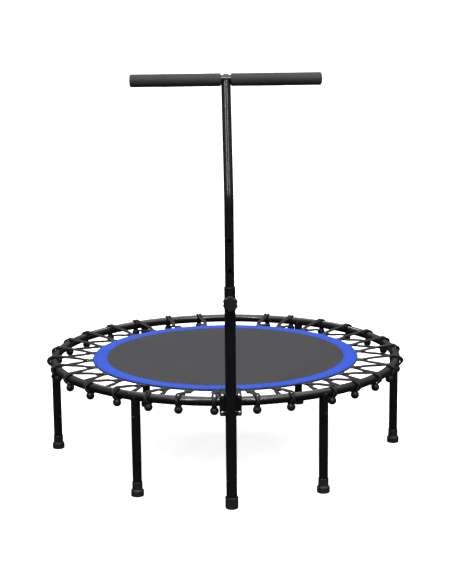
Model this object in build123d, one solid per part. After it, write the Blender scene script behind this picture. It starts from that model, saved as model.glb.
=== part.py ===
from build123d import *
import os
import math

# ---------------------------------------------------------------- driving dimensions (mm, degrees)
# Round six-legged fitness trampoline with a height-adjustable T handle.
ring_r = 497.5            # centreline radius of the frame ring
ring_tube_r = 12.5        # outer radius of the ring tube
ring_wall = 1.5
ring_z = 275.7            # height of the ring centreline
seam_offset = -3.0        # each ring joint lies this far before its leg
male_len = 5.0            # swaged end inside the next segment, degrees
button_offset = 1.25      # snap button beyond the seam
leg_angles = [0, 60, 120, 180, 240, 300]
leg_r = 12.5
leg_wall = 1.5
leg_top_z = 257.5
spigot_r = 10.9
spigot_bottom_z = 190.0
leg_screw_z = 219.0
foot_h = 40.0
foot_base_r = 17.5
foot_collar_r = 14.0
foot_floor = 6.0

mast_y = -541.0           # mast axis, outside the ring
mast_r = 14.3
mast_wall = 1.2
mast_top_z = 587.0
mast_foot_r = 17.25
mast_foot_h = 31.0
mast_foot_floor = 5.0
knob_z = 552.0
hole_pitch = 77.0
hole_r = 5.0
pin_r = 3.6
pin_travel = 7.0

stem_r = 12.0
stem_wall = 1.5
stem_bottom_z = 400.0
bend_z = 808.0
bend_r = 110.0
lean_back = 100.0
bar_z = 1098.5
handle_yaw = 1.0          # the handle sits turned a little in the play of its lock hole
bar_r = 12.5
bar_wall = 1.5
bar_half = 238.0
grip_r = 16.3
grip_inner = 12.3         # half of the gap between the two grips
grip_outer = 240.5

mat_r = 386.0
band_inner_r = 347.0
mat_z0, mat_z1 = 275.0, 277.0
band_top_z = 279.5
hem_z0, hem_z1 = 271.5, 273.2
tab_tip_r = 413.0
ball_r = 11.5
ball_c = (500.0, 251.0)
cord_r = 3.0
strand_gap = 3.3
bungee_angles = [3.2, 14.6, 26.6, 38.1, 50.4, 63.2, 72.6, 85.6, 98.4, 110.3,
                 123.7, 135.4, 148.4, 160.2, 172.3, 185.0, 197.1, 209.4, 221.5, 233.3,
                 244.6, 254.3, 265.2, 278.0, 288.6, 303.0, 312.7, 323.8, 335.4, 348.5]

clamp_half_w = 28.5
clamp_half_h = 30.5
bolt_dx = 21.0
bolt_dz = 22.5
bolt_r = 4.0


def polar(r, a, z=0.0):
    return Vector(r * math.cos(math.radians(a)), r * math.sin(math.radians(a)), z)


def cyl(r, z0, z1, x=0.0, y=0.0):
    return Pos(x, y, (z0 + z1) / 2) * Cylinder(r, z1 - z0)


def tube(r, wall, z0, z1, x=0.0, y=0.0):
    return cyl(r, z0, z1, x, y) - cyl(r - wall, z0 - 1, z1 + 1, x, y)


def arc_solid(r_out, a0, a1, R=ring_r, z=ring_z):
    # round bar bent along the ring, from angle a0 to angle a1
    prof = Plane(origin=(R, 0, z), x_dir=(1, 0, 0), z_dir=(0, -1, 0)) * Circle(r_out)
    return Rot(0, 0, a0) * revolve(prof, Axis.Z, a1 - a0)


def radial_cyl(r, length, a, R0, z, tilt=0.0):
    # cylinder whose axis starts at radius R0 and runs outwards, tilted up by tilt
    d = Vector(math.cos(math.radians(tilt)), 0, math.sin(math.radians(tilt)))
    base = Vector(R0, 0, z)
    pl = Plane(origin=base, z_dir=d)
    s = extrude(pl * Circle(r), length)
    return Rot(0, 0, a) * s


nodes = {}

# ---------------------------------------------------------------- ring: six bent tubes
# each segment has a plain mouth at its start and a swaged end that enters the next one
a0 = leg_angles[0] + seam_offset
a1 = a0 + 60.0
swage_r = ring_tube_r - ring_wall - 0.1
wall_arc = arc_solid(ring_tube_r, a0, a1) - arc_solid(ring_tube_r - ring_wall, a0 - 1, a1 - 0.5)
male_arc = arc_solid(swage_r, a1 - 0.5, a1 + male_len)
seg = (wall_arc + male_arc) - arc_solid(swage_r - ring_wall, a1 - 1.5, a1 + male_len + 1)
# snap-button holes on the upper outside, through the mouth and through the swaged end
tilt = 30.0
hx, hz = 5.0 * math.cos(math.radians(tilt)), 5.0 * math.sin(math.radians(tilt))
seg = seg - radial_cyl(3.6, 20, a0 + button_offset, ring_r + hx, ring_z + hz, tilt)
seg = seg - radial_cyl(3.6, 20, a1 + button_offset, ring_r + hx, ring_z + hz, tilt)
for i in range(6):
    nodes[f"ring_segment_{i+1}"] = Rot(0, 0, 60.0 * i) * seg

# ---------------------------------------------------------------- snap buttons in the ring joints
btns = []
for a in leg_angles:
    # the head stands just proud of the tube
    c = radial_cyl(3.5, 4.6, 0, ring_r + 9.2 * math.cos(math.radians(30)), ring_z + 9.2 * math.sin(math.radians(30)), 30.0)
    c = Rot(0, 0, a + seam_offset + button_offset) * c
    c = fillet([e for e in c.edges().filter_by(GeomType.CIRCLE)
                if Vector(e.arc_center.X, e.arc_center.Y, 0).length > ring_r + 10.5], 1.4)
    btns.append(c)
nodes["ring_joint_buttons"] = Compound(btns)

# ---------------------------------------------------------------- leg sockets, legs, feet, screws
sockets, screws = [], []
for i, a in enumerate(leg_angles):
    p = polar(ring_r, a)
    collar = tube(leg_r, leg_wall + 0.1, leg_top_z, ring_z, p.X, p.Y)
    spig = tube(spigot_r, 2.0, spigot_bottom_z, leg_top_z + 6.0, p.X, p.Y)
    ringcut = arc_solid(ring_tube_r + 0.02, a - 4, a + 4)
    web = cyl(leg_r, leg_top_z, leg_top_z + 3.0, p.X, p.Y) - cyl(spigot_r - 2.0, leg_top_z - 1, leg_top_z + 4.0, p.X, p.Y)
    sock = (collar + spig + web) - ringcut
    hole = radial_cyl(2.6, 30, a, ring_r, leg_screw_z)
    sock = sock - hole
    # keep the one connected solid
    sock = max(sock.solids(), key=lambda s: s.volume)
    sockets.append(sock)

    leg = tube(leg_r, leg_wall, foot_floor, leg_top_z, p.X, p.Y) - hole
    nodes[f"leg_{i+1}"] = leg

    # pan-head screw through the leg wall into the spigot
    sc = radial_cyl(2.5, 6.3, a, ring_r + 7.6, leg_screw_z) + radial_cyl(4.6, 2.4, a, ring_r + leg_r + 0.05, leg_screw_z)
    sc = fillet([e for e in sc.edges().filter_by(GeomType.CIRCLE)
                 if Vector(e.arc_center.X, e.arc_center.Y, 0).length > ring_r + leg_r + 2.2], 1.3)
    screws.append(sc)

    # rubber crutch tip
    with BuildSketch(Plane.XZ) as sk:
        with BuildLine():
            Polyline((0, 0), (foot_base_r - 1.5, 0), (foot_base_r, 1.5), (foot_base_r, 15.5),
                     (foot_base_r - 1.2, 17.2), (foot_collar_r + 0.4, 19.5), (foot_collar_r, 22.0),
                     (foot_collar_r, foot_h - 1.0), (foot_collar_r - 0.8, foot_h),
                     (leg_r + 0.05, foot_h), (leg_r + 0.05, foot_floor), (0, foot_floor), (0, 0))
        make_face()
    foot = revolve(sk.sketch, Axis.Z, 360)
    nodes[f"foot_{i+1}"] = Pos(p.X, p.Y, 0) * foot
nodes["leg_sockets"] = Compound(sockets)
nodes["leg_screws"] = Compound(screws)

# ---------------------------------------------------------------- jumping mat: sheet, band, hem, tabs
nodes["mat_sheet"] = cyl(mat_r, mat_z0, mat_z1)
band = cyl(mat_r, mat_z1, band_top_z) - cyl(band_inner_r, mat_z1 - 1, band_top_z + 1)
band = fillet(band.edges().filter_by(GeomType.CIRCLE).group_by(Axis.Z)[-1], 1.1)
nodes["edge_band"] = band
nodes["mat_hem"] = cyl(mat_r + 0.6, hem_z0, hem_z1) - cyl(358.0, hem_z0 - 1, hem_z1 + 1)
tabs = []
for a in bungee_angles:
    with BuildSketch() as sk:
        with BuildLine():
            Polyline((362, -16), (390, -16), (tab_tip_r - 6, -10), (tab_tip_r, -9),
                     (tab_tip_r, 9), (tab_tip_r - 6, 10), (390, 16), (362, 16), (362, -16))
        make_face()
        with Locations((404.5, 0)):
            Rectangle(9.0, 13.4, mode=Mode.SUBTRACT)
    t = extrude(sk.sketch, mat_z0 - hem_z1)
    tabs.append(Rot(0, 0, a) * Pos(0, 0, hem_z1) * t)
nodes["mat_tabs"] = Compound(tabs)

# ---------------------------------------------------------------- ball bungees
# one strand lies in a radial plane: ball, round the ring, through the tab, back to the ball
C = (ring_r, ring_z)
rho = ring_tube_r + cord_r + 0.1
G = (411.0, (hem_z1 + mat_z0) / 2)
rg = 6.0


def on(c, r, ang):
    return (c[0] + r * math.cos(math.radians(ang)), c[1] + r * math.sin(math.radians(ang)))


S = on(ball_c, ball_r + 1.2, 48.0)
E = on(ball_c, ball_r + 1.8, 150.0)
ds = (S[0] - C[0], S[1] - C[1])
t1 = math.degrees(math.atan2(ds[1], ds[0])) + math.degrees(math.acos(rho / math.hypot(*ds)))
dg = (G[0] - C[0], G[1] - C[1])
phi = (math.degrees(math.atan2(dg[1], dg[0])) - math.degrees(math.acos((rho - rg) / math.hypot(*dg)))) % 360
de = (E[0] - G[0], E[1] - G[1])
t2 = math.degrees(math.atan2(de[1], de[0])) - math.degrees(math.acos(rg / math.hypot(*de))) + 360
T1, T2 = on(C, rho, t1), on(C, rho, phi)
G1, G2 = on(G, rg, phi), on(G, rg, t2)
mid1 = on(C, rho, (t1 + phi) / 2)
mid2 = on(G, rg, (phi + t2) / 2)


def v3(p):
    return Vector(p[0], 0, p[1])


edges = [Edge.make_line(v3(S), v3(T1)),
         Edge.make_three_point_arc(v3(T1), v3(mid1), v3(T2)),
         Edge.make_line(v3(T2), v3(G1)),
         Edge.make_three_point_arc(v3(G1), v3(mid2), v3(G2)),
         Edge.make_line(v3(G2), v3(E))]
path = Wire(edges)
start_dir = (v3(T1) - v3(S)).normalized()
strand = sweep(Plane(origin=v3(S), z_dir=start_dir) * Circle(cord_r), path=path)
strand_len = sum(e.length for e in edges)
print("strand length", round(strand_len, 1), "volume ratio",
      round(strand.volume / (math.pi * cord_r ** 2 * strand_len), 4))
strands, balls = [], []
for a in bungee_angles:
    for s in (-strand_gap, strand_gap):
        strands.append(Rot(0, 0, a) * Pos(0, s, 0) * strand)
    balls.append(Rot(0, 0, a) * Pos(ball_c[0], 0, ball_c[1]) * Sphere(ball_r))
nodes["bungee_cords"] = Compound(strands)
nodes["bungee_balls"] = Compound(balls)

# ---------------------------------------------------------------- clamp that ties the mast to the ring
front = Pos(0, -514.75, ring_z) * Box(2 * clamp_half_w, 30.5, 2 * clamp_half_h)
front = fillet(front.edges().filter_by(Axis.Y), 5.0)
front = chamfer(front.faces().sort_by(Axis.Y)[0].edges(), 1.0)
rear = Pos(0, -487.75, ring_z) * Box(2 * clamp_half_w, 15.5, 2 * clamp_half_h)
rear = fillet(rear.edges().filter_by(Axis.Y), 5.0)
rear = chamfer(rear.faces().sort_by(Axis.Y)[-1].edges(), 1.0)
ring_cut = arc_solid(ring_tube_r + 0.05, 262, 278)
mast_cut = cyl(mast_r + 0.03, 200, 350, 0, mast_y)
bolts, nuts, bolt_holes = [], [], None
for sx in (-1, 1):
    for sz in (-1, 1):
        x, z = sx * bolt_dx, ring_z + sz * bolt_dz
        pl = Plane(origin=(x, -530.0, z), z_dir=(0, 1, 0))
        hole = extrude(pl * Circle(bolt_r + 0.25), 60)
        hole = Pos(0, -2, 0) * hole
        bolt_holes = hole if bolt_holes is None else bolt_holes + hole
        shank = extrude(pl * Circle(bolt_r), 60)
        head = extrude(Plane(origin=(x, -530.0, z), z_dir=(0, -1, 0)) * Circle(6.3), 4.2)
        head = fillet(head.faces().sort_by(Axis.Y)[0].edges(), 3.4)
        bolts.append(shank + head)
        npl = Plane(origin=(x, -480.0, z), z_dir=(0, 1, 0))
        nut = extrude(npl * RegularPolygon(6.5, 6, major_radius=False), 6.4)
        nut = nut - Pos(0, -5, 0) * extrude(npl * Circle(bolt_r + 0.05), 20)
        nuts.append(nut)
nodes["clamp_front_plate"] = front - ring_cut - mast_cut - bolt_holes
nodes["clamp_rear_plate"] = rear - ring_cut - bolt_holes
nodes["clamp_bolts"] = Compound(bolts)
nodes["clamp_nuts"] = Compound(nuts)

# ---------------------------------------------------------------- mast, its foot, bushing and lock boss
pin_bore = extrude(Plane(origin=(0, mast_y, knob_z), z_dir=(0, -1, 0)) * Circle(pin_r + 0.1), 60)
mast = tube(mast_r, mast_wall, mast_foot_floor, mast_top_z - 2.5, 0, mast_y) - pin_bore
nodes["mast_tube"] = mast
with BuildSketch(Plane.XZ) as sk:
    with BuildLine():
        Polyline((0, 0), (mast_foot_r - 3, 0), (mast_foot_r - 0.9, 1.0), (mast_foot_r, 3.2),
                 (mast_foot_r, mast_foot_h - 4), (mast_foot_r + 0.5, mast_foot_h - 3),
                 (mast_foot_r + 0.5, mast_foot_h - 0.8), (mast_foot_r - 0.3, mast_foot_h),
                 (mast_r + 0.05, mast_foot_h), (mast_r + 0.05, mast_foot_floor), (0, mast_foot_floor), (0, 0))
    make_face()
nodes["mast_foot"] = Pos(0, mast_y, 0) * revolve(sk.sketch, Axis.Z, 360)
bush_o = mast_r - mast_wall - 0.05
bush = cyl(bush_o, mast_top_z - 62, mast_top_z, 0, mast_y) + cyl(mast_r + 0.5, mast_top_z - 2.5, mast_top_z, 0, mast_y)
bush = bush - cyl(stem_r + 0.1, mast_top_z - 70, mast_top_z + 5, 0, mast_y) - pin_bore
bush = fillet(bush.edges().filter_by(GeomType.CIRCLE).group_by(Axis.Z)[-1].sort_by(SortBy.RADIUS)[-1], 0.8)
nodes["mast_bushing"] = bush
boss_face = mast_y - mast_r - 9.0
boss = extrude(Plane(origin=(0, mast_y - 8, knob_z), z_dir=(0, -1, 0)) * Circle(8.0), mast_r + 1.0)
boss = boss - cyl(mast_r + 0.03, knob_z - 30, knob_z + 30, 0, mast_y) - pin_bore
nodes["pin_boss"] = boss

# ---------------------------------------------------------------- lock pin and knob (drawn out at rest)
tip_y = mast_y - stem_r - 0.5
pin_end = mast_y - mast_r - 9.0 - pin_travel - 12.0
pin = extrude(Plane(origin=(0, tip_y, knob_z), z_dir=(0, -1, 0)) * Circle(pin_r), tip_y - pin_end)
pin = chamfer(pin.faces().sort_by(Axis.Y)[-1].edges(), 0.8)
nodes["lock_pin"] = pin
knob_y0 = boss_face - pin_travel - 0.5
ksk = Circle(19.0)
for k in range(6):
    ksk = ksk - Pos(22.0 * math.cos(math.radians(60 * k)), 22.0 * math.sin(math.radians(60 * k))) * Circle(5.6)
ksk = fillet(ksk.vertices(), 1.6)
kn = extrude(Plane(origin=(0, knob_y0 - 4, knob_z), x_dir=(1, 0, 0), z_dir=(0, -1, 0)) * ksk, 15.0)
kn = fillet(kn.faces().sort_by(Axis.Y)[0].edges(), 1.5)
kn = kn + extrude(Plane(origin=(0, knob_y0, knob_z), z_dir=(0, -1, 0)) * Circle(9.0), 5.0)
kn = kn - extrude(Plane(origin=(0, mast_y, knob_z), z_dir=(0, -1, 0)) * Circle(pin_r + 0.01), mast_y - pin_end + 0.01)
nodes["knob"] = kn

# ---------------------------------------------------------------- handle: stem, crossbar, grips
lean = math.degrees(math.atan2(lean_back, bar_z - bend_z))
tang = bend_r * math.tan(math.radians(lean / 2))
u = Vector(0, math.sin(math.radians(lean)), math.cos(math.radians(lean)))
A = Vector(0, mast_y, stem_bottom_z)
B = Vector(0, mast_y, bend_z - tang)
K = Vector(0, mast_y, bend_z)
D = K + u * tang
F = Vector(0, mast_y + lean_back, bar_z)
cen = Vector(0, mast_y + bend_r, bend_z - tang)
M = cen + Vector(0, -bend_r * math.cos(math.radians(lean / 2)), bend_r * math.sin(math.radians(lean / 2)))
spath = Wire([Edge.make_line(A, B), Edge.make_three_point_arc(B, M, D), Edge.make_line(D, F)])


def bent(r):
    return sweep(Plane(origin=A, z_dir=(0, 0, 1)) * Circle(r), path=spath)


bar_cyl = extrude(Plane(origin=(-bar_half, F.Y, F.Z), z_dir=(1, 0, 0)) * Circle(bar_r), 2 * bar_half)
bar_fit = extrude(Plane(origin=(-60, F.Y, F.Z), z_dir=(1, 0, 0)) * Circle(bar_r + 0.03), 120)
stem = bent(stem_r) - Pos(0, 0, 0) * bent(stem_r - stem_wall) - bar_fit
stem = max(stem.solids(), key=lambda s: s.volume)
for k in range(-1, 3):
    hz = knob_z + k * hole_pitch
    stem = stem - extrude(Plane(origin=(0, mast_y, hz), z_dir=(0, -1, 0)) * Circle(hole_r), 20)
plug = cyl(mast_r - mast_wall - 0.1, stem_bottom_z - 4, stem_bottom_z, 0, mast_y) \
    + cyl(stem_r - stem_wall - 0.05, stem_bottom_z, stem_bottom_z + 22, 0, mast_y)
plug = fillet(plug.edges().filter_by(GeomType.CIRCLE).group_by(Axis.Z)[0], 1.0)
crossbar = bar_cyl - extrude(Plane(origin=(-bar_half - 1, F.Y, F.Z), z_dir=(1, 0, 0)) * Circle(bar_r - bar_wall), 2 * bar_half + 2)
# the long bolt runs through the crossbar down the stem
bolt_top = F + u * (bar_r + 0.05)
bolt_hole = extrude(Plane(origin=F - u * 40, z_dir=u) * Circle(3.2), 80)
crossbar = crossbar - bolt_hole
hb = extrude(Plane(origin=bolt_top, z_dir=u) * Circle(6.2), 3.6)
hb = fillet([e for e in hb.edges().filter_by(GeomType.CIRCLE) if (e.arc_center - bolt_top).length > 3.0], 2.6)
hb = hb + extrude(Plane(origin=bolt_top - u * 60, z_dir=u) * Circle(3.0), 60.5)
anchor = extrude(Plane(origin=F - u * 46, z_dir=u) * Circle(stem_r - stem_wall - 0.1), 16) \
    - extrude(Plane(origin=F - u * 60, z_dir=u) * Circle(3.05), 60)


def grip(s):
    x0, x1 = (grip_inner, grip_outer) if s > 0 else (-grip_outer, -grip_inner)
    g = extrude(Plane(origin=(x0, F.Y, F.Z), z_dir=(1, 0, 0)) * Circle(grip_r), x1 - x0)
    g = fillet(g.edges().filter_by(GeomType.CIRCLE), 1.8)
    return g - extrude(Plane(origin=(x0 - 5, F.Y, F.Z), z_dir=(1, 0, 0)) * Circle(bar_r + 0.02), x1 - x0 + 10)


def cap(s):
    c = extrude(Plane(origin=(s * bar_half, F.Y, F.Z), z_dir=(-s, 0, 0)) * Circle(bar_r - bar_wall - 0.02), 18)
    f = extrude(Plane(origin=(s * bar_half, F.Y, F.Z), z_dir=(s, 0, 0)) * Circle(bar_r), 4.5)
    f = fillet([e for e in f.edges().filter_by(GeomType.CIRCLE) if abs(e.arc_center.X) > bar_half + 4], 2.5)
    return c + f


yaw = Pos(0, mast_y, 0) * Rot(0, 0, handle_yaw) * Pos(0, -mast_y, 0)
nodes["stem_tube"] = yaw * stem
nodes["stem_end_plug"] = yaw * plug
nodes["crossbar"] = yaw * crossbar
nodes["handlebar_bolt"] = yaw * hb
nodes["handlebar_anchor_nut"] = yaw * anchor
nodes["grip_right"] = yaw * grip(1)
nodes["grip_left"] = yaw * grip(-1)
nodes["end_cap_right"] = yaw * cap(1)
nodes["end_cap_left"] = yaw * cap(-1)

# ---------------------------------------------------------------- origin: centre of the footprint box, on the floor
lo = [1e9] * 3
hi = [-1e9] * 3
for s in nodes.values():
    b = s.bounding_box()
    for k, (p, q) in enumerate(((b.min.X, b.max.X), (b.min.Y, b.max.Y), (b.min.Z, b.max.Z))):
        lo[k] = min(lo[k], p)
        hi[k] = max(hi[k], q)
shift = (-(lo[0] + hi[0]) / 2, -(lo[1] + hi[1]) / 2, -lo[2])
print("box", [round(v, 2) for v in lo], [round(v, 2) for v in hi], "shift", [round(v, 3) for v in shift])

os.makedirs("parts", exist_ok=True)
for name, s in nodes.items():
    export_step(Pos(*shift) * s, f"parts/{name}.step")
print(len(nodes), "nodes")
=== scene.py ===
import math

import bpy
import numpy as np
from mathutils import Matrix, Vector


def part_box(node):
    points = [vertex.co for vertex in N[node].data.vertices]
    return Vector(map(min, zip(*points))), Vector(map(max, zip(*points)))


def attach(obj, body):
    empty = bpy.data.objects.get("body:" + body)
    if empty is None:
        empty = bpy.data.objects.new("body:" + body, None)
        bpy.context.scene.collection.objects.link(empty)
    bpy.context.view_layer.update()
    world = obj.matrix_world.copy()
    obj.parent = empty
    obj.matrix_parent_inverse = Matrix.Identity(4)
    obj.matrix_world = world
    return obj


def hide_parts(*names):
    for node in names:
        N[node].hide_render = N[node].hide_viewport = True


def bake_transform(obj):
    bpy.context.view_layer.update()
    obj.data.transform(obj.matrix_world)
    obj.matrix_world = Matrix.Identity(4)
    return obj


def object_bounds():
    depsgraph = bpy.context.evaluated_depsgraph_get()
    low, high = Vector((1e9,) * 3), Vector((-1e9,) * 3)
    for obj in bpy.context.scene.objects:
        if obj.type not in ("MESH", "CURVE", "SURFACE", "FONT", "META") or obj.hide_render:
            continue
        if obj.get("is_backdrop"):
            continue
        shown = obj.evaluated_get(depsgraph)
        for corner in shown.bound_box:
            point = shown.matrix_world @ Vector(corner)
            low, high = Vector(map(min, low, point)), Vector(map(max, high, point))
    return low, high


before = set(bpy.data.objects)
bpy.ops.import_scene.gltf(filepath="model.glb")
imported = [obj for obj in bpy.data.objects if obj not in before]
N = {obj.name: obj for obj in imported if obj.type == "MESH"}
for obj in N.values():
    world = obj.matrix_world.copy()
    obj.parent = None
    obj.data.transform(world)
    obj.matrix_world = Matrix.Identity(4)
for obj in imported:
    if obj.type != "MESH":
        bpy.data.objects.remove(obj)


def save_bounds(key, data):
    lo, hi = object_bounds()
    data[key] = [[float(v) for v in lo], [float(v) for v in hi]]


sizes = {}
save_bounds("cad", sizes)

rng = np.random.default_rng(7)
lo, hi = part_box("mat_sheet")
CX, CY = (lo.x + hi.x) / 2, (lo.y + hi.y) / 2
MM = 0.001
RING_R, RING_Z, TUBE_R = 497.5, 275.7, 12.5
ANGLES = [3.2, 14.6, 26.6, 38.1, 50.4, 63.2, 72.6, 85.6, 98.4, 110.3,
          123.7, 135.4, 148.4, 160.2, 172.3, 185.0, 197.1, 209.4, 221.5, 233.3,
          244.6, 254.3, 265.2, 278.0, 288.6, 303.0, 312.7, 323.8, 335.4, 348.5]


# ------------------------------------------------------------------ camera and light
scene = bpy.context.scene
cam_d = bpy.data.cameras.new("camera")
cam_d.sensor_width = 36.0
cam_d.lens = 86.65
cam_d.clip_end = 2000
cam = bpy.data.objects.new("camera", cam_d)
scene.collection.objects.link(cam)
PITCH, ROLL, YAW = (math.radians(v) for v in (11.49, -0.61, -1.442))
fw = Vector((-math.sin(YAW) * math.cos(PITCH), math.cos(YAW) * math.cos(PITCH), -math.sin(PITCH)))
rt = Vector((math.cos(YAW), math.sin(YAW), 0.0))
up = rt.cross(fw)
rt2 = rt * math.cos(ROLL) + up * math.sin(ROLL)
up2 = up * math.cos(ROLL) - rt * math.sin(ROLL)
cam.matrix_world = Matrix((
    (rt2.x, up2.x, -fw.x, CX - 0.0969),
    (rt2.y, up2.y, -fw.y, CY - 4.0113),
    (rt2.z, up2.z, -fw.z, 1.2795),
    (0, 0, 0, 1)))
scene.camera = cam
scene.view_settings.view_transform = "Standard"
scene.view_settings.look = "None"

world = bpy.data.worlds.new("world")
scene.world = world
world.use_nodes = True
wn, wl = world.node_tree.nodes, world.node_tree.links
wn.clear()
wout = wn.new("ShaderNodeOutputWorld")
wbg = wn.new("ShaderNodeBackground")
wtc = wn.new("ShaderNodeTexCoord")
wsep = wn.new("ShaderNodeSeparateXYZ")
wramp = wn.new("ShaderNodeValToRGB")
wl.new(wtc.outputs["Generated"], wsep.inputs[0])
wmap = wn.new("ShaderNodeMapRange")
wmap.inputs["From Min"].default_value = -1.0
wmap.inputs["From Max"].default_value = 1.0
wl.new(wsep.outputs["Z"], wmap.inputs["Value"])
wl.new(wmap.outputs["Result"], wramp.inputs["Fac"])
el = wramp.color_ramp.elements
el[0].position, el[0].color = 0.40, (0.05, 0.05, 0.05, 1)
el[1].position, el[1].color = 1.0, (1.15, 1.15, 1.15, 1)
e2 = el.new(0.56); e2.color = (0.16, 0.16, 0.165, 1)
e3 = el.new(0.72); e3.color = (0.75, 0.75, 0.76, 1)
wl.new(wramp.outputs["Color"], wbg.inputs["Color"])
wbg.inputs["Strength"].default_value = 0.42
wl.new(wbg.outputs[0], wout.inputs[0])


def light(name, kind, loc, rot, energy, size=1.0, size_y=None, color=(1, 1, 1)):
    d = bpy.data.lights.new(name, kind)
    d.energy = energy
    d.color = color
    if kind == "AREA":
        d.shape = "RECTANGLE"
        d.size = size
        d.size_y = size_y or size
    if kind == "SUN":
        d.angle = size
    o = bpy.data.objects.new(name, d)
    scene.collection.objects.link(o)
    o.location = loc
    o.rotation_euler = [math.radians(v) for v in rot]
    return o


sun = light("sun_soft", "SUN", (0, 0, 5), (6, 5, 0), 1.7, math.radians(80))
sun.data.specular_factor = 0.0
light("top_box", "AREA", (0.1, -1.7, 3.1), (28, 0, 4), 38, 2.6, 0.40)
light("back_box", "AREA", (-0.2, 2.6, 2.6), (-46, 0, 0), 22, 2.4, 0.35)
for nm, lx, ly, w_, e_ in (("strip_left", -1.35, -2.7, 0.20, 20), ("strip_right", 0.95, -2.9, 0.16, 17)):
    st = light(nm, "AREA", (lx, ly, 2.6), (0, 0, 0), e_, w_, 1.5)
    st.rotation_euler = (Vector((0, -0.5, 1.0)) - st.location).to_track_quat("-Z", "Y").to_euler()

floor_m = bpy.data.meshes.new("floor")
S = 300.0
floor_m.from_pydata([(-S, -S, 0), (S, -S, 0), (S, S, 0), (-S, S, 0)], [], [(0, 1, 2, 3)])
floor = bpy.data.objects.new("floor", floor_m)
scene.collection.objects.link(floor)
floor.location.z = -0.0002
floor.visible_glossy = False
floor.visible_diffuse = False
floor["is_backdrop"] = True
wall_m = bpy.data.meshes.new("backdrop")
wall_m.from_pydata([(-S, S - 1, -1), (S, S - 1, -1), (S, S - 1, 120), (-S, S - 1, 120)], [], [(0, 1, 2, 3)])
wall = bpy.data.objects.new("backdrop", wall_m)
scene.collection.objects.link(wall)
wall.visible_glossy = False
wall.visible_diffuse = False
wall.visible_shadow = False
wall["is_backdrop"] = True


# ------------------------------------------------------------------ material helpers
class Mat:
    def __init__(self, name):
        self.m = bpy.data.materials.new(name)
        self.m.use_nodes = True
        self.nt = self.m.node_tree
        self.n, self.l = self.nt.nodes, self.nt.links
        self.n.clear()
        self.out = self.n.new("ShaderNodeOutputMaterial")
        self.b = self.n.new("ShaderNodeBsdfPrincipled")
        self.l.new(self.b.outputs[0], self.out.inputs[0])
        self.tc = self.n.new("ShaderNodeTexCoord")

    def set(self, **kw):
        for k, v in kw.items():
            self.b.inputs[k.replace("_", " ")].default_value = v
        return self

    def noise(self, scale, detail=3.0, rough=0.5, coord="Object", stretch=None):
        t = self.n.new("ShaderNodeTexNoise")
        t.inputs["Scale"].default_value = scale
        t.inputs["Detail"].default_value = detail
        t.inputs["Roughness"].default_value = rough
        src = self.tc.outputs[coord]
        if stretch:
            mp = self.n.new("ShaderNodeMapping")
            mp.inputs["Scale"].default_value = stretch
            self.l.new(src, mp.inputs["Vector"])
            src = mp.outputs[0]
        self.l.new(src, t.inputs["Vector"])
        return t.outputs["Fac"]

    def math(self, op, a, b=None, c=None):
        t = self.n.new("ShaderNodeMath")
        t.operation = op
        for i, v in enumerate((a, b, c)):
            if v is None:
                continue
            if isinstance(v, (int, float)):
                t.inputs[i].default_value = v
            else:
                self.l.new(v, t.inputs[i])
        return t.outputs[0]

    def ramp(self, fac, stops):
        t = self.n.new("ShaderNodeValToRGB")
        e = t.color_ramp.elements
        while len(e) > 1:
            e.remove(e[0])
        for i, (p, c) in enumerate(stops):
            q = e[0] if i == 0 else e.new(p)
            q.position = p
            q.color = (*c, 1) if len(c) == 3 else c
        self.l.new(fac, t.inputs["Fac"])
        return t.outputs["Color"]

    def maprange(self, fac, a, b, c, d):
        t = self.n.new("ShaderNodeMapRange")
        for k, v in (("From Min", a), ("From Max", b), ("To Min", c), ("To Max", d)):
            t.inputs[k].default_value = v
        self.l.new(fac, t.inputs["Value"])
        return t.outputs["Result"]

    def mix(self, fac, a, b):
        t = self.n.new("ShaderNodeMix")
        t.data_type = "RGBA"
        if isinstance(fac, (int, float)):
            t.inputs[0].default_value = fac
        else:
            self.l.new(fac, t.inputs[0])
        for i, v in ((6, a), (7, b)):
            if isinstance(v, tuple):
                t.inputs[i].default_value = (*v, 1)
            else:
                self.l.new(v, t.inputs[i])
        return t.outputs[2]

    def bump(self, height, strength, dist):
        t = self.n.new("ShaderNodeBump")
        t.inputs["Strength"].default_value = strength
        t.inputs["Distance"].default_value = dist
        self.l.new(height, t.inputs["Height"])
        self.l.new(t.outputs["Normal"], self.b.inputs["Normal"])
        return self

    def color(self, sock):
        self.l.new(sock, self.b.inputs["Base Color"])
        return self

    def rough(self, sock):
        self.l.new(sock, self.b.inputs["Roughness"])
        return self

    def sep(self, coord):
        t = self.n.new("ShaderNodeSeparateXYZ")
        self.l.new(self.tc.outputs[coord], t.inputs[0])
        return t.outputs


def powder_coat():
    m = Mat("black_powder_coat")
    fine = m.noise(900, 2, 0.5)
    broad = m.noise(7, 4, 0.55)
    scuff = m.noise(55, 5, 0.7, stretch=(1, 1, 0.25))
    m.color(m.mix(m.maprange(broad, 0.35, 0.7, 0, 1), (0.0068, 0.0068, 0.0080), (0.0110, 0.0110, 0.0126)))
    worn = m.maprange(scuff, 0.56, 0.74, 0.0, 0.16)
    m.rough(m.math("ADD", m.maprange(broad, 0.3, 0.7, 0.16, 0.23), worn))
    m.bump(fine, 0.10, 0.0004)
    m.set(Coat_Weight=0.35, Coat_Roughness=0.10, IOR=1.5)
    return m.m


def zinc():
    m = Mat("bright_zinc_plate")
    a = m.noise(420, 3, 0.6)
    b = m.noise(60, 4, 0.6)
    m.color(m.mix(m.maprange(b, 0.3, 0.7, 0, 1), (0.62, 0.62, 0.62), (0.84, 0.84, 0.85)))
    m.rough(m.maprange(a, 0.3, 0.7, 0.16, 0.34))
    m.bump(a, 0.15, 0.0002)
    m.set(Metallic=1.0)
    return m.m


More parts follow.
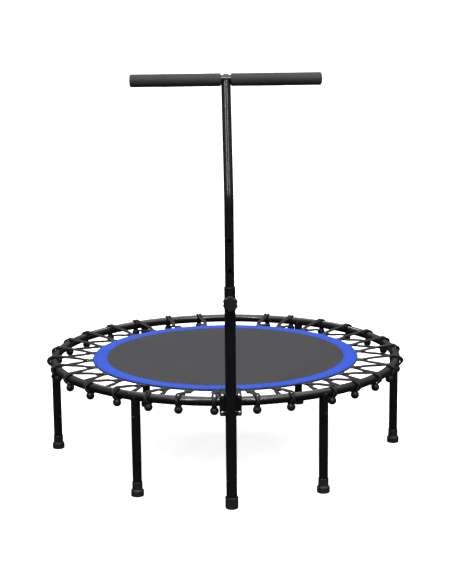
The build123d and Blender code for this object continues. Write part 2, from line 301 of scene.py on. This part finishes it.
def black_steel():
    m = Mat("blackened_steel")
    a = m.noise(300, 3, 0.6)
    m.color(m.mix(m.maprange(a, 0.3, 0.7, 0, 1), (0.018, 0.018, 0.02), (0.05, 0.05, 0.054)))
    m.rough(m.maprange(a, 0.3, 0.7, 0.22, 0.42))
    m.bump(a, 0.2, 0.0002)
    m.set(Metallic=0.6)
    return m.m


def rubber():
    m = Mat("moulded_rubber")
    a = m.noise(650, 3, 0.6)
    b = m.noise(30, 4, 0.6)
    z = m.sep("Object")[2]
    dust = m.math("MULTIPLY", m.maprange(z, 0.0, 0.012, 1.0, 0.0), m.maprange(b, 0.4, 0.7, 0.0, 1.0))
    base = m.mix(m.maprange(b, 0.3, 0.7, 0, 1), (0.0120, 0.0120, 0.0130), (0.0210, 0.0210, 0.0225))
    m.color(m.mix(m.math("MULTIPLY", dust, 0.35), base, (0.09, 0.086, 0.08)))
    m.rough(m.maprange(a, 0.3, 0.7, 0.48, 0.68))
    m.bump(a, 0.25, 0.0004)
    m.set(Specular_IOR_Level=0.45)
    return m.m


def plastic(name, col=(0.013, 0.013, 0.0145)):
    m = Mat(name)
    a = m.noise(1100, 2, 0.5)
    b = m.noise(40, 3, 0.5)
    c2 = tuple(v * 1.7 for v in col)
    m.color(m.mix(m.maprange(b, 0.3, 0.7, 0, 1), col, c2))
    m.rough(m.maprange(b, 0.3, 0.7, 0.34, 0.50))
    m.bump(a, 0.30, 0.0003)
    return m.m


def foam():
    m = Mat("closed_cell_foam")
    a = m.noise(1500, 2, 0.6)
    b = m.noise(420, 3, 0.65)
    c = m.noise(14, 3, 0.5)
    pore = m.math("ADD", m.math("MULTIPLY", a, 0.6), m.math("MULTIPLY", b, 0.4))
    col = m.mix(m.maprange(c, 0.35, 0.65, 0, 1), (0.028, 0.028, 0.032), (0.037, 0.037, 0.042))
    # painted shade: the pores, low on the bump height, are coloured darker
    m.color(m.mix(m.maprange(pore, 0.40, 0.56, 0.0, 0.75), (0.020, 0.020, 0.023), col))
    m.rough(m.maprange(b, 0.3, 0.7, 0.62, 0.82))
    m.bump(pore, 0.45, 0.0009)
    m.set(Sheen_Weight=0.18, Sheen_Roughness=0.5, Sheen_Tint=(0.75, 0.75, 0.8, 1))
    return m.m


def weave(m, u, v, pitch, over=1.0):
    """height of a plain weave: u and v are sockets in metres"""
    pu = m.math("MULTIPLY", u, math.pi / pitch)
    pv = m.math("MULTIPLY", v, math.pi / pitch)
    su, sv = m.math("SINE", pu), m.math("SINE", pv)
    warp = m.math("ABSOLUTE", su)
    weft = m.math("ABSOLUTE", sv)
    par = m.math("MULTIPLY", m.math("SINE", m.math("MULTIPLY", pu, 1.0)), m.math("SINE", m.math("MULTIPLY", pv, 1.0)))
    chk = m.maprange(par, -0.12, 0.12, 0.0, 1.0)
    h1 = m.math("MULTIPLY", warp, chk)
    h2 = m.math("MULTIPLY", weft, m.math("SUBTRACT", 1.0, chk))
    return m.math("ADD", h1, h2), chk


def mat_cloth():
    m = Mat("woven_jump_mat")
    s = m.sep("Object")
    h, chk = weave(m, s[0], s[1], 0.0021)
    big = m.noise(5, 4, 0.55)
    yarn = m.noise(240, 3, 0.6)
    base = m.mix(m.maprange(big, 0.3, 0.7, 0, 1), (0.026, 0.0255, 0.030), (0.031, 0.0305, 0.0345))
    # painted shade: where the weave height h is low, between the threads, the colour is darker
    shaded_weave = m.mix(m.maprange(h, 0.1, 0.9, 0.0, 1.0), (0.0155, 0.015, 0.018), base)
    m.color(m.mix(m.maprange(yarn, 0.35, 0.7, 0.0, 0.35), shaded_weave, (0.038, 0.0375, 0.043)))
    m.rough(m.maprange(chk, 0, 1, 0.62, 0.74))
    m.bump(h, 0.5, 0.0005)
    m.set(Specular_IOR_Level=0.30, Sheen_Weight=0.08, Sheen_Roughness=0.5)
    return m.m


def blue_cloth():
    m = Mat("blue_oxford_band")
    s = m.sep("UV")
    h, chk = weave(m, s[0], s[1], 0.0011)
    big = m.noise(22, 4, 0.6)
    base = m.mix(m.maprange(big, 0.3, 0.7, 0, 1), (0.005, 0.066, 0.56), (0.008, 0.084, 0.68))
    # painted shade: the blue is darker where the weave height h is low, between the threads
    m.color(m.mix(m.maprange(h, 0.1, 0.9, 0.0, 1.0), (0.006, 0.048, 0.43), base))
    m.rough(m.maprange(big, 0.3, 0.7, 0.50, 0.66))
    m.bump(h, 0.4, 0.0004)
    m.set(Specular_IOR_Level=0.35, Sheen_Weight=0.05, Sheen_Tint=(0.2, 0.45, 1.0, 1))
    return m.m


def webbing(name="black_webbing"):
    m = Mat(name)
    s = m.sep("UV")
    rib = m.math("ABSOLUTE", m.math("SINE", m.math("MULTIPLY", s[1], math.pi / 0.0016)))
    chev = m.math("ABSOLUTE", m.math("SINE", m.math("MULTIPLY", m.math("ADD", s[0], m.math("MULTIPLY", s[1], 1.0)), math.pi / 0.0024)))
    h = m.math("ADD", m.math("MULTIPLY", rib, 0.6), m.math("MULTIPLY", chev, 0.4))
    fuzz = m.noise(500, 3, 0.6)
    # painted shade: the grooves of the rib and chevron pattern, low on h, are coloured darker
    m.color(m.mix(m.maprange(h, 0.2, 0.9, 0.0, 1.0), (0.0050, 0.0050, 0.0058), (0.0165, 0.0165, 0.0182)))
    m.rough(m.maprange(fuzz, 0.3, 0.7, 0.62, 0.82))
    m.bump(m.math("ADD", h, m.math("MULTIPLY", fuzz, 0.3)), 0.55, 0.0005)
    m.set(Sheen_Weight=0.15, Sheen_Roughness=0.4)
    return m.m


def braid():
    m = Mat("braided_cord")
    s = m.sep("UV")
    # u runs once round the cord, v is metres along it
    a = m.math("ADD", m.math("MULTIPLY", s[0], 8 * math.pi), m.math("MULTIPLY", s[1], math.pi / 0.0022))
    b = m.math("SUBTRACT", m.math("MULTIPLY", s[0], 8 * math.pi), m.math("MULTIPLY", s[1], math.pi / 0.0022))
    h = m.math("MAXIMUM", m.math("ABSOLUTE", m.math("SINE", a)), m.math("ABSOLUTE", m.math("SINE", b)))
    fz = m.noise(700, 2, 0.6)
    # painted shade: the grooves between the braid strands, low on h, are coloured darker
    m.color(m.mix(m.maprange(h, 0.72, 1.0, 0.0, 1.0), (0.0028, 0.0028, 0.0034), (0.0110, 0.0110, 0.0125)))
    m.rough(m.maprange(fz, 0.3, 0.7, 0.55, 0.75))
    m.bump(m.math("ADD", h, m.math("MULTIPLY", fz, 0.2)), 0.6, 0.0005)
    m.set(Sheen_Weight=0.12, Sheen_Roughness=0.4)
    return m.m


def thread(name, col):
    m = Mat(name)
    s = m.noise(2500, 2, 0.5)
    m.color(m.mix(s, col, tuple(min(1, v * 1.8) for v in col)))
    m.rough(m.maprange(s, 0.3, 0.7, 0.55, 0.75))
    m.bump(s, 0.3, 0.0002)
    return m.m


def floor_mat():
    m = Mat("pale_floor")
    a = m.noise(3, 3, 0.5)
    m.color(m.mix(a, (0.93, 0.93, 0.93), (0.95, 0.95, 0.95)))
    m.set(Roughness=0.9, Specular_IOR_Level=0.1, Emission_Color=(1, 1, 1, 1), Emission_Strength=0.85)
    return m.m


M_COAT, M_ZINC, M_STEEL, M_RUB = powder_coat(), zinc(), black_steel(), rubber()
M_PLAS, M_KNOB, M_FOAM = plastic("black_moulded_plastic"), plastic("knob_plastic", (0.011, 0.011, 0.012)), foam()
M_MAT, M_BLUE, M_WEB, M_BRAID = mat_cloth(), blue_cloth(), webbing(), braid()
M_THR, M_THB = thread("blue_thread", (0.018, 0.085, 0.45)), thread("black_thread", (0.012, 0.012, 0.014))
M_BALL = plastic("ball_plastic", (0.0085, 0.0085, 0.0095))
floor.data.materials.append(floor_mat())
wall.data.materials.append(floor.data.materials[0])


def paint(node, mat):
    o = N[node]
    o.data.materials.clear()
    o.data.materials.append(mat)


for n in N:
    if n.startswith(("ring_segment", "leg_sockets", "mast_tube", "stem_tube", "crossbar", "clamp_front", "clamp_rear", "pin_boss")) or (n.startswith("leg_") and n[4:].isdigit()):
        paint(n, M_COAT)
    elif n.startswith("foot") or n == "mast_foot":
        paint(n, M_RUB)
    elif n in ("clamp_bolts", "clamp_nuts", "handlebar_bolt", "lock_pin"):
        paint(n, M_ZINC)
    elif n in ("leg_screws", "ring_joint_buttons", "handlebar_anchor_nut"):
        paint(n, M_STEEL)
    elif n == "knob":
        paint(n, M_KNOB)
    else:
        paint(n, M_PLAS)


# ------------------------------------------------------------------ mesh helpers
def mesh(name, verts, faces, mat, uvs=None, smooth=True):
    me = bpy.data.meshes.new(name)
    me.from_pydata([tuple(v) for v in verts], [], faces)
    me.update()
    if uvs is not None:
        lay = me.uv_layers.new(name="UVMap")
        for poly in me.polygons:
            for li in poly.loop_indices:
                lay.data[li].uv = uvs[li] if len(uvs) == len(me.loops) else uvs[me.loops[li].vertex_index]
    for p in me.polygons:
        p.use_smooth = smooth
    me.materials.append(mat)
    o = bpy.data.objects.new(name, me)
    scene.collection.objects.link(o)
    return o


def to_world(r, t, z, a):
    """radius, tangential offset, height in mm, at angle a in degrees"""
    ca, sa = math.cos(math.radians(a)), math.sin(math.radians(a))
    r, t, z = np.asarray(r, float), np.asarray(t, float), np.asarray(z, float)
    return np.stack([CX + (r * ca - t * sa) * MM, CY + (r * sa + t * ca) * MM, z * MM + 0 * r], -1)


def smooth_path(pts, per=8):
    """Catmull-Rom through the points, centripetal enough for these gentle runs"""
    P = np.asarray(pts, float)
    P = np.vstack([2 * P[0] - P[1], P, 2 * P[-1] - P[-2]])
    out = []
    for i in range(1, len(P) - 2):
        p0, p1, p2, p3 = P[i - 1], P[i], P[i + 1], P[i + 2]
        d0, d1, d2 = (max(np.linalg.norm(b - a), 1e-9) ** 0.5 for a, b in ((p0, p1), (p1, p2), (p2, p3)))
        m1 = (p1 - p0) / d0 - (p2 - p0) / (d0 + d1) + (p2 - p1) / d1
        m2 = (p2 - p1) / d1 - (p3 - p1) / (d1 + d2) + (p3 - p2) / d2
        m1, m2 = m1 * d1, m2 * d1
        n = per
        for k in range(n):
            s = k / n
            out.append((2 * s**3 - 3 * s**2 + 1) * p1 + (s**3 - 2 * s**2 + s) * m1 + (-2 * s**3 + 3 * s**2) * p2 + (s**3 - s**2) * m2)
    out.append(P[-2])
    return np.array(out)


def tube_data(path, radius, sides=10):
    """verts, faces, uvs of a round tube along a path in metres; u is round, v is metres along"""
    path = np.asarray(path, float)
    T = np.gradient(path, axis=0)
    T /= np.linalg.norm(T, axis=1)[:, None]
    ref = np.array([0, 0, 1.0]) if abs(T[0][2]) < 0.9 else np.array([1.0, 0, 0])
    nrm = np.cross(T[0], ref)
    nrm /= np.linalg.norm(nrm)
    L = np.concatenate([[0], np.cumsum(np.linalg.norm(np.diff(path, axis=0), axis=1))])
    verts, uvs, faces = [], [], []
    for i, p in enumerate(path):
        if i:
            nrm = nrm - T[i] * np.dot(nrm, T[i])
            nrm /= np.linalg.norm(nrm)
        bi = np.cross(T[i], nrm)
        rr = radius[i] if hasattr(radius, "__len__") else radius
        for k in range(sides):
            a = 2 * math.pi * k / sides
            verts.append(p + rr * (math.cos(a) * nrm + math.sin(a) * bi))
            uvs.append((k / sides, L[i]))
    n = len(path)
    luv = []
    for i in range(n - 1):
        for k in range(sides):
            k2 = (k + 1) % sides
            faces.append((i * sides + k, i * sides + k2, (i + 1) * sides + k2, (i + 1) * sides + k))
            u0, u1 = k / sides, (k + 1) / sides
            luv += [(u0, L[i]), (u1, L[i]), (u1, L[i + 1]), (u0, L[i + 1])]
    faces.append(tuple(range(sides - 1, -1, -1)))
    luv += [(0, 0)] * sides
    faces.append(tuple((n - 1) * sides + k for k in range(sides)))
    luv += [(0, L[-1])] * sides
    return verts, faces, luv


def join_data(parts):
    V, F, U = [], [], []
    for v, f, u in parts:
        off = len(V)
        V += list(v)
        F += [tuple(i + off for i in q) for q in f]
        U += list(u)
    return V, F, U


# ------------------------------------------------------------------ jumping mat
def closed_annulus(name, r_in, top, bottom, radii, n, mat, uv_scale=True):
    """a ring or disc of cloth: top(r, a) and bottom(r, a) give heights in mm"""
    nr = len(radii)
    V, F, U = [], [], []
    ang = np.linspace(0, 360, n, endpoint=False)
    for fn in (top, bottom):
        for r in radii:
            for a in ang:
                V.append(to_world(r, 0, fn(r, a), a))
    def idx(layer, i, k):
        return layer * nr * n + i * n + (k % n)
    def uv(i, k):
        return (radii[i] * MM, math.radians(k * 360 / n) * radii[-1] * MM)
    for i in range(nr - 1):
        for k in range(n):
            F.append((idx(0, i, k), idx(0, i + 1, k), idx(0, i + 1, k + 1), idx(0, i, k + 1)))
            U += [uv(i, k), uv(i + 1, k), uv(i + 1, k + 1), uv(i, k + 1)]
            F.append((idx(1, i, k), idx(1, i, k + 1), idx(1, i + 1, k + 1), idx(1, i + 1, k)))
            U += [uv(i, k), uv(i, k + 1), uv(i + 1, k + 1), uv(i + 1, k)]
    for k in range(n):
        i = nr - 1
        F.append((idx(0, i, k), idx(1, i, k), idx(1, i, k + 1), idx(0, i, k + 1)))
        U += [uv(i, k), uv(i, k), uv(i, k + 1), uv(i, k + 1)]
        F.append((idx(0, 0, k), idx(0, 0, k + 1), idx(1, 0, k + 1), idx(1, 0, k)))
        U += [uv(0, k), uv(0, k + 1), uv(0, k + 1), uv(0, k)]
    return mesh(name, V, F, mat, U)


A_SORT = np.array(ANGLES)


def pull(a):
    """1 at a tab, 0 midway between two tabs"""
    d = np.min(np.abs((a - A_SORT + 180) % 360 - 180))
    return math.exp(-(d / 2.6) ** 2)


def mat_top(r, a):
    dish = -1.6 * (1 - min(1, (r / 386.0)) ** 2)
    edge = max(0.0, (r - 300) / 86.0)
    ripple = 0.22 * edge * (pull(a) - 0.4)
    soft = 0.25 * math.sin(3 * math.radians(a) + 0.6) * (r / 386.0) * (1 - r / 400.0) * 4
    return 277.0 + dish + ripple + soft


radii_m = [0.5, 20, 50, 90, 130, 170, 210, 240, 270, 290, 305, 318, 328, 336, 342, 347, 352, 360, 368, 376, 382, 385.4]
jump_mat = closed_annulus("jump_mat", 0, mat_top, lambda r, a: mat_top(r, a) - 1.6, radii_m, 360, M_MAT)
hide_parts("mat_sheet")
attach(jump_mat, "mat")


def band_top(r, a):
    x = (r - 366.5) / 19.6
    puff = 2.6 * (1 - min(1, abs(x)) ** 4)
    valley = 0.9 * (math.exp(-((r - 351.5) / 1.3) ** 2) + math.exp(-((r - 381.8) / 1.3) ** 2))
    pucker = 0.28 * math.sin(math.radians(a) * 150) * math.exp(-((r - 366) / 12.0) ** 2) + 0.30 * (pull(a) - 0.4) * (1 - abs(x))
    return mat_top(r, a) + 0.15 + puff - valley + pucker * 0.6


radii_b = [346.8, 347.2, 348.2, 349.6, 350.6, 351.5, 352.4, 353.6, 357, 361, 366, 371, 376, 379.6, 380.8, 381.8, 382.8, 383.8, 385.2, 386.0, 386.3]
band = closed_annulus("blue_edge_band", 0, band_top, lambda r, a: mat_top(r, a) + 0.05, radii_b, 600, M_BLUE)
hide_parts("edge_band")
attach(band, "mat")


def hem_bottom(r, a):
    return 271.6 + 0.12 * math.sin(math.radians(a) * 90)


def hem_top_fn(r, a):
    return 273.1 if r < 384.9 else 273.1 + (r - 384.9) * 1.2


hem = closed_annulus("sewn_hem", 0, hem_top_fn, hem_bottom, [358, 359, 364, 370, 376, 382, 385, 386.4, 387.0], 360, M_WEB)
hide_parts("mat_hem")
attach(hem, "mat")

# binding that wraps the mat's raw edge below the blue band
bind_parts = []
bpath = []
n = 361
ang = np.linspace(0, 360, n)
V, F, U = [], [], []
prof = [(386.4, 276.4), (387.3, 275.9), (387.9, 274.6), (387.7, 273.2), (386.9, 272.2), (385.6, 272.0), (385.4, 274.4)]
m_ = len(prof)
for k in range(n - 1):
    for (r, z) in prof:
        w = 0.15 * math.sin(math.radians(ang[k]) * 60)
        V.append(to_world(r + w, 0, z, ang[k]))
for k in range(n - 1):
    for j in range(m_):
        j2, k2 = (j + 1) % m_, (k + 1) % (n - 1)
        F.append((k * m_ + j, k2 * m_ + j, k2 * m_ + j2, k * m_ + j2))
        v0, v1 = math.radians(ang[k]) * 0.386, math.radians(ang[k] + 1) * 0.386
        U += [(j * 0.0013, v0), (j * 0.0013, v1), ((j + 1) * 0.0013, v1), ((j + 1) * 0.0013, v0)]
binding = mesh("edge_binding", V, F, M_WEB, U)
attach(binding, "mat")


# stitching: short thread loops that dip into the band
def stitch_ring(name, r, zfn, step_mm, length_mm, mat, rad=0.42, up=1):
    cnt = int(2 * math.pi * r / step_mm)
    parts = []
    for i in range(cnt):
        a0 = 360.0 * i / cnt
        da = math.degrees(length_mm / r)
        ts = np.linspace(0, 1, 5)
        pts = []
        for t in ts:
            a = a0 + da * t
            z = zfn(r, a) + up * (0.30 * math.sin(math.pi * t) - 0.25)
            pts.append(to_world(r + 0.05 * math.sin(i), 0, z, a))
        parts.append(tube_data(pts, rad * MM, 5))
    V, F, U = join_data(parts)
    o = mesh(name, V, F, mat, U)
    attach(o, "mat")
    return o


for nm, r in (("band_stitching_inner", 351.5), ("band_stitching_outer", 381.8)):
    st = stitch_ring(nm, r, lambda rr, a: band_top(rr, a) + 0.25, 5.2, 3.8, M_THR)
for nm, r in (("hem_stitching_inner", 361.0), ("hem_stitching_outer", 382.0)):
    st = stitch_ring(nm, r, lambda rr, a: hem_bottom(rr, a) - 0.2, 5.2, 3.8, M_THB, up=-1)


# ------------------------------------------------------------------ webbing tabs
def tab_data(a, seed):
    r_ = np.random.default_rng(seed)
    tip = 415.5 + r_.uniform(-1.5, 1.5)
    keys = [(362, 273.62), (380, 273.62), (392, 273.5), (399, 272.6), (404, 271.0), (409, 270.4),
            (tip - 2.0, 271.2), (tip, 274.2), (tip - 2.0, 277.2), (409, 278.0), (404, 277.3), (399, 275.4), (392, 274.75), (380, 274.6), (362, 274.6)]
    P = smooth_path([(k[0], 0, k[1]) for k in keys], 4)[:, [0, 2]]
    n = len(P)
    T = np.gradient(P, axis=0)
    T /= np.linalg.norm(T, axis=1)[:, None]
    Nn = np.stack([T[:, 1], -T[:, 0]], 1)
    L = np.concatenate([[0], np.cumsum(np.linalg.norm(np.diff(P, axis=0), axis=1))])
    cols = np.linspace(-1, 1, 11)
    th = 0.5
    V, F, U = [], [], []
    for side in (1, -1):
        for i in range(n):
            r = P[i, 0]
            k = min(1, max(0, (r - 388) / 18.0))
            k = k * k * (3 - 2 * k)
            half = 16.0 * (1 - k) + 8.0 * k
            for c in cols:
                fold = 0.35 * k * math.cos(c * 5.0)
                p = P[i] + Nn[i] * (side * th * (1 - 0.35 * abs(c) ** 8) + fold)
                V.append(to_world(p[0], c * half + 0.3 * math.sin(seed + r * 0.05), p[1], a))
                U.append((c * 0.016, L[i] * MM))
    m = len(cols)

    def ix(s, i, j):
        return s * n * m + i * m + j
    for i in range(n - 1):
        for j in range(m - 1):
            F.append((ix(0, i, j), ix(0, i, j + 1), ix(0, i + 1, j + 1), ix(0, i + 1, j)))
            F.append((ix(1, i, j), ix(1, i + 1, j), ix(1, i + 1, j + 1), ix(1, i, j + 1)))
        F.append((ix(0, i, 0), ix(0, i + 1, 0), ix(1, i + 1, 0), ix(1, i, 0)))
        F.append((ix(0, i, m - 1), ix(1, i, m - 1), ix(1, i + 1, m - 1), ix(0, i + 1, m - 1)))
    for j in range(m - 1):
        F.append((ix(0, 0, j), ix(1, 0, j), ix(1, 0, j + 1), ix(0, 0, j + 1)))
        F.append((ix(0, n - 1, j), ix(0, n - 1, j + 1), ix(1, n - 1, j + 1), ix(1, n - 1, j)))
    LU = [U[v % len(U)] for f in F for v in f]
    return V, F, LU


for i, a in enumerate(ANGLES):
    V, F, U = tab_data(a, 11 + i)
    tab = mesh(f"webbing_tab_{i+1:02d}", V, F, M_WEB, U)
    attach(tab, "mat")
    if i == 0:
        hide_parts("mat_tabs")


# ------------------------------------------------------------------ ball bungees
CORD = 2.85


def bungee_paths(a, seed):
    r_ = np.random.default_rng(100 + seed)
    d = 1.0 if math.cos(math.radians(a)) > 0 else -1.0
    if abs(math.cos(math.radians(a))) < 0.35 and seed % 2:
        d = -d
    j1, j2 = r_.uniform(-0.8, 0.8, 2)
    out = []
    for s in (-1.0, 1.0):
        def ring(th, t, extra=0.0):
            q = TUBE_R + CORD + 0.15 + extra
            return (RING_R + q * math.cos(math.radians(th)), t, RING_Z + q * math.sin(math.radians(th)))
        over = 5.2 if s > 0 else 0.0
        inner = 2.75 * s                      # which strand is nearer the mat inside the eye
        pts = [
            (500.5, 2.7 * s, 256.0), (503.8, 2.9 * s, 260.0),
            ring(-38, 3.6 * s, 0.6), ring(-14, 2.4 * s, 0.3 + over * 0.65), ring(6, 0.2 * s, over), ring(26, -2.4 * s, 0.3 + over * 0.65),
            ring(50, -4.4 * s + j1 * 0.5, 0.2), ring(75, -5.0 * s + j1, 0), ring(97, -4.9 * s + j1, 0),
            (470, -3.9 * s + d * 2.0, 286.6), (440, -3.0 * s + d * 5.2, 281.5), (424, -2.8 * s + d * 8.2, 278.0),
            (414.5 + inner * 0.9, d * (9.9 - inner * d * -0.0), 275.4),
            (409.6 + inner * 0.95, d * 5.0, 274.3), (409.4 + inner * 0.95, 0.0, 274.2), (409.6 + inner * 0.95, -d * 5.0, 274.1),
            (414.5 + inner * 0.9, -d * 9.9, 273.0),
            (424, 2.8 * s - d * 8.2, 270.6), (445, 2.8 * s - d * 5.0 + j2, 267.4), (470, 2.7 * s - d * 2.0 + j2, 262.9), (486, 2.7 * s, 259.2), (494, 2.7 * s, 256.8), (498.5, 2.7 * s, 253.5),
        ]
        w = smooth_path(pts, 5)
        out.append(np.array([to_world(p[0], p[1], p[2], a) for p in w]))
    return out


bungees = []
for i, a in enumerate(ANGLES):
    parts = [tube_data(p, CORD * MM, 10) for p in bungee_paths(a, i)]
    V, F, U = join_data(parts)
    o = mesh(f"bungee_cord_{i+1:02d}", V, F, M_BRAID, U)
    e_ = to_world(424, 0, 276, a)
    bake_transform(o)
    bungees.append(o)
    if i == 0:
        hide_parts("bungee_cords")


def revolve_data(profile, centre, axis_u, axis_v, axis_w, n=28):
    """profile is (radius, height) in mm along axis_w"""
    V, F, U = [], [], []
    m = len(profile)
    for k in range(n):
        t = 2 * math.pi * k / n
        du = math.cos(t) * axis_u + math.sin(t) * axis_v
        for (r, h) in profile:
            V.append(centre + du * (r * MM) + axis_w * (h * MM))
    for k in range(n):
        k2 = (k + 1) % n
        for j in range(m - 1):
            F.append((k * m + j, k2 * m + j, k2 * m + j + 1, k * m + j + 1))
            U += [(k / n, j * 0.001), ((k + 1) / n, j * 0.001), ((k + 1) / n, (j + 1) * 0.001), (k / n, (j + 1) * 0.001)]
    F.append(tuple(k * m for k in range(n))[::-1])
    U += [(0, 0)] * n
    F.append(tuple(k * m + m - 1 for k in range(n)))
    U += [(0, 0)] * n
    return V, F, U


ball_prof = []
for th in np.linspace(-90, 90, 25):
    r = 11.5 * math.cos(math.radians(th))
    h = 11.5 * math.sin(math.radians(th))
    if abs(th) < 4:
        r += 0.22                                   # moulding line
    ball_prof.append((max(r, 1.2 if th < 0 else 0), h))
# flat at the bottom with the small hole for the knot, and a short neck on top
ball_prof = [(1.6, -8.8), (2.4, -10.4), (3.4, -10.95)] + [p for p in ball_prof if -10.6 < p[1] < 8.6] + [(7.6, 8.9), (7.1, 10.6), (6.4, 11.3), (5.9, 11.0), (5.6, 9.0)]
parts = []
for i, a in enumerate(ANGLES):
    c = to_world(500.0, 0, 251.0, a)
    tlt = math.radians(rng.uniform(-7, 7))
    rad_ = np.array([math.cos(math.radians(a)), math.sin(math.radians(a)), 0.0])
    tan_ = np.array([-rad_[1], rad_[0], 0.0])
    w = np.array([0, 0, 1.0]) * math.cos(tlt) + tan_ * math.sin(tlt)
    u_ = tan_ * math.cos(tlt) - np.array([0, 0, 1.0]) * math.sin(tlt)
    parts.append(revolve_data(ball_prof, c, rad_, u_, w, 28))
V, F, U = join_data(parts)
balls = mesh("bungee_ball_set", V, F, M_BALL, U)
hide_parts("bungee_balls")
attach(balls, "frame")


# ------------------------------------------------------------------ foam grips on the crossbar
blo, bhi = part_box("crossbar")
gl = {s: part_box("grip_" + s) for s in ("left", "right")}
cl, cr = (gl["left"][0] + gl["left"][1]) / 2, (gl["right"][0] + gl["right"][1]) / 2
axis = (cr - cl).normalized()
half = (cr - cl).length / 2
mid = (cl + cr) / 2
bar_z = mid.z
AX = np.array(axis)
UPV = np.array([0, 0, 1.0])
SIDE = np.cross(UPV, AX)
INNER, OUTER, GR = 12.6, 241.2, 16.3


def grip_data(sgn, seed):
    r_ = np.random.default_rng(seed)
    n_len, n_round = 96, 40
    xs = np.linspace(INNER, OUTER, n_len)
    V, F, U = [], [], []
    prof = [(12.62, INNER + 1.2), (13.2, INNER + 0.2), (14.2, INNER)]
    for x in xs:
        e0, e1 = x - INNER, OUTER - x
        r = GR
        for e in (e0, e1):
            if e < 2.6:
                r = GR - 2.2 * (1 - math.sqrt(max(0.0, 1 - ((2.6 - e) / 2.6) ** 2)))
        r += 0.10 * math.sin(x * 0.045 + seed) + 0.07 * math.sin(x * 0.11 + 2 * seed)
        prof.append((r, x))
    prof += [(14.2, OUTER), (13.2, OUTER - 0.3), (12.62, OUTER - 1.4)]
    m = len(prof)
    for k in range(n_round):
        t = 2 * math.pi * k / n_round
        for (r, x) in prof:
            rr = r + (0.09 * math.sin(3 * t + x * 0.02 + seed) if r > 15 else 0)
            V.append(np.array(mid) + AX * (sgn * x * MM) + (math.cos(t) * UPV + math.sin(t) * SIDE * sgn) * rr * MM)
    for k in range(n_round):
        k2 = (k + 1) % n_round
        for j in range(m):
            j2 = (j + 1) % m
            F.append((k * m + j, k * m + j2, k2 * m + j2, k2 * m + j))
            U += [(k / n_round, j * 0.0025), (k / n_round, (j + 1) * 0.0025), ((k + 1) / n_round, (j + 1) * 0.0025), ((k + 1) / n_round, j * 0.0025)]
    return V, F, U


for s, sgn in (("left", -1.0), ("right", 1.0)):
    V, F, U = grip_data(sgn, 3 if sgn > 0 else 8)
    g = mesh(f"foam_grip_{s}", V, F, M_FOAM, U)
    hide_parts("grip_" + s)
    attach(g, "handle")


# ------------------------------------------------------------------ weld beads
def bead(name, pts, rad, body, seed, closed=True):
    r_ = np.random.default_rng(seed)
    P = np.array(pts)
    if closed:
        P = np.vstack([P, P[:1]])
    rr = np.array([rad * (1 + 0.16 * math.sin(i * 2.1) + r_.uniform(-0.06, 0.06)) for i in range(len(P))]) * MM
    V, F, U = tube_data(P, rr, 8)
    o = mesh(name, V, F, M_COAT, U)
    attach(o, body)
    return o


for i in range(6):
    a = 60.0 * i
    pts = []
    for k in range(48):
        t = 2 * math.pi * k / 48
        x, y = 12.6 * math.cos(t), 12.6 * math.sin(t)     # radial, tangential about the leg axis
        dz = math.sqrt(max(0.0, TUBE_R**2 - x * x)) if abs(x) < TUBE_R else 0.0
        pts.append(to_world(RING_R + x, y, RING_Z - dz - 0.1, a))
    bead(f"socket_weld_{i+1}", pts, 1.3, "frame", 40 + i)

mast_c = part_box("mast_tube")
mx, my = (mast_c[0].x + mast_c[1].x) / 2, (mast_c[0].y + mast_c[1].y) / 2
plate_lo, plate_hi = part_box("clamp_front_plate")
for s in (-1, 1):
    pts = []
    for k in range(40):
        z = plate_lo.z + 0.003 + (plate_hi.z - plate_lo.z - 0.006) * k / 39
        pts.append(np.array([mx + s * 0.0101, plate_lo.y - 0.0003, z]))
    bead(f"mast_weld_{'left' if s < 0 else 'right'}", pts, 1.4, "frame", 60 + s, closed=False)

save_bounds("visual", sizes)
